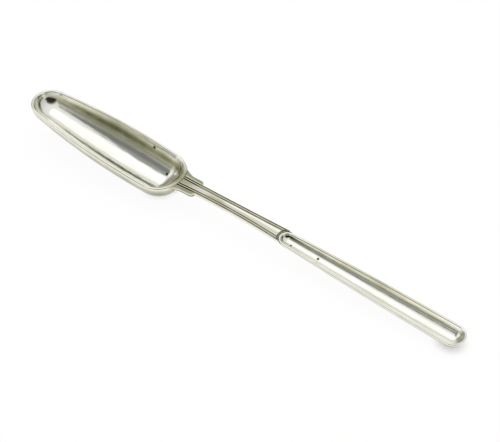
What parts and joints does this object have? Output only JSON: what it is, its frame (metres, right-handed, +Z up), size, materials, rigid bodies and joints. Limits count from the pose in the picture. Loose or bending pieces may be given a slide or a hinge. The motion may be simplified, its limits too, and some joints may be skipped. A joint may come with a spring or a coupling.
{
  "type": "marrow scoop",
  "caption": "Silver marrow scoop: a broad egg-shaped bowl and a long narrow trough for drawing marrow from bones, joined by a short threaded stem.",
  "frame": {"origin": "on the table under the middle of the scoop's length, where it lies face up on the bowl's heel and the trough's tip", "axes": "+X along the length, from the bowl to the trough; +Y across; +Z up out of the open bowl"},
  "size_m": [0.2246, 0.0252, 0.0182],
  "materials": {
    "silver": "old polished sterling silver",
    "solder": "dull silver solder"
  },
  "bodies": {
    "root": {"bowl": "silver", "stem": "silver", "trough": "silver", "bowl_solder": "solder", "trough_solder": "solder"}
  },
  "joints": []
}
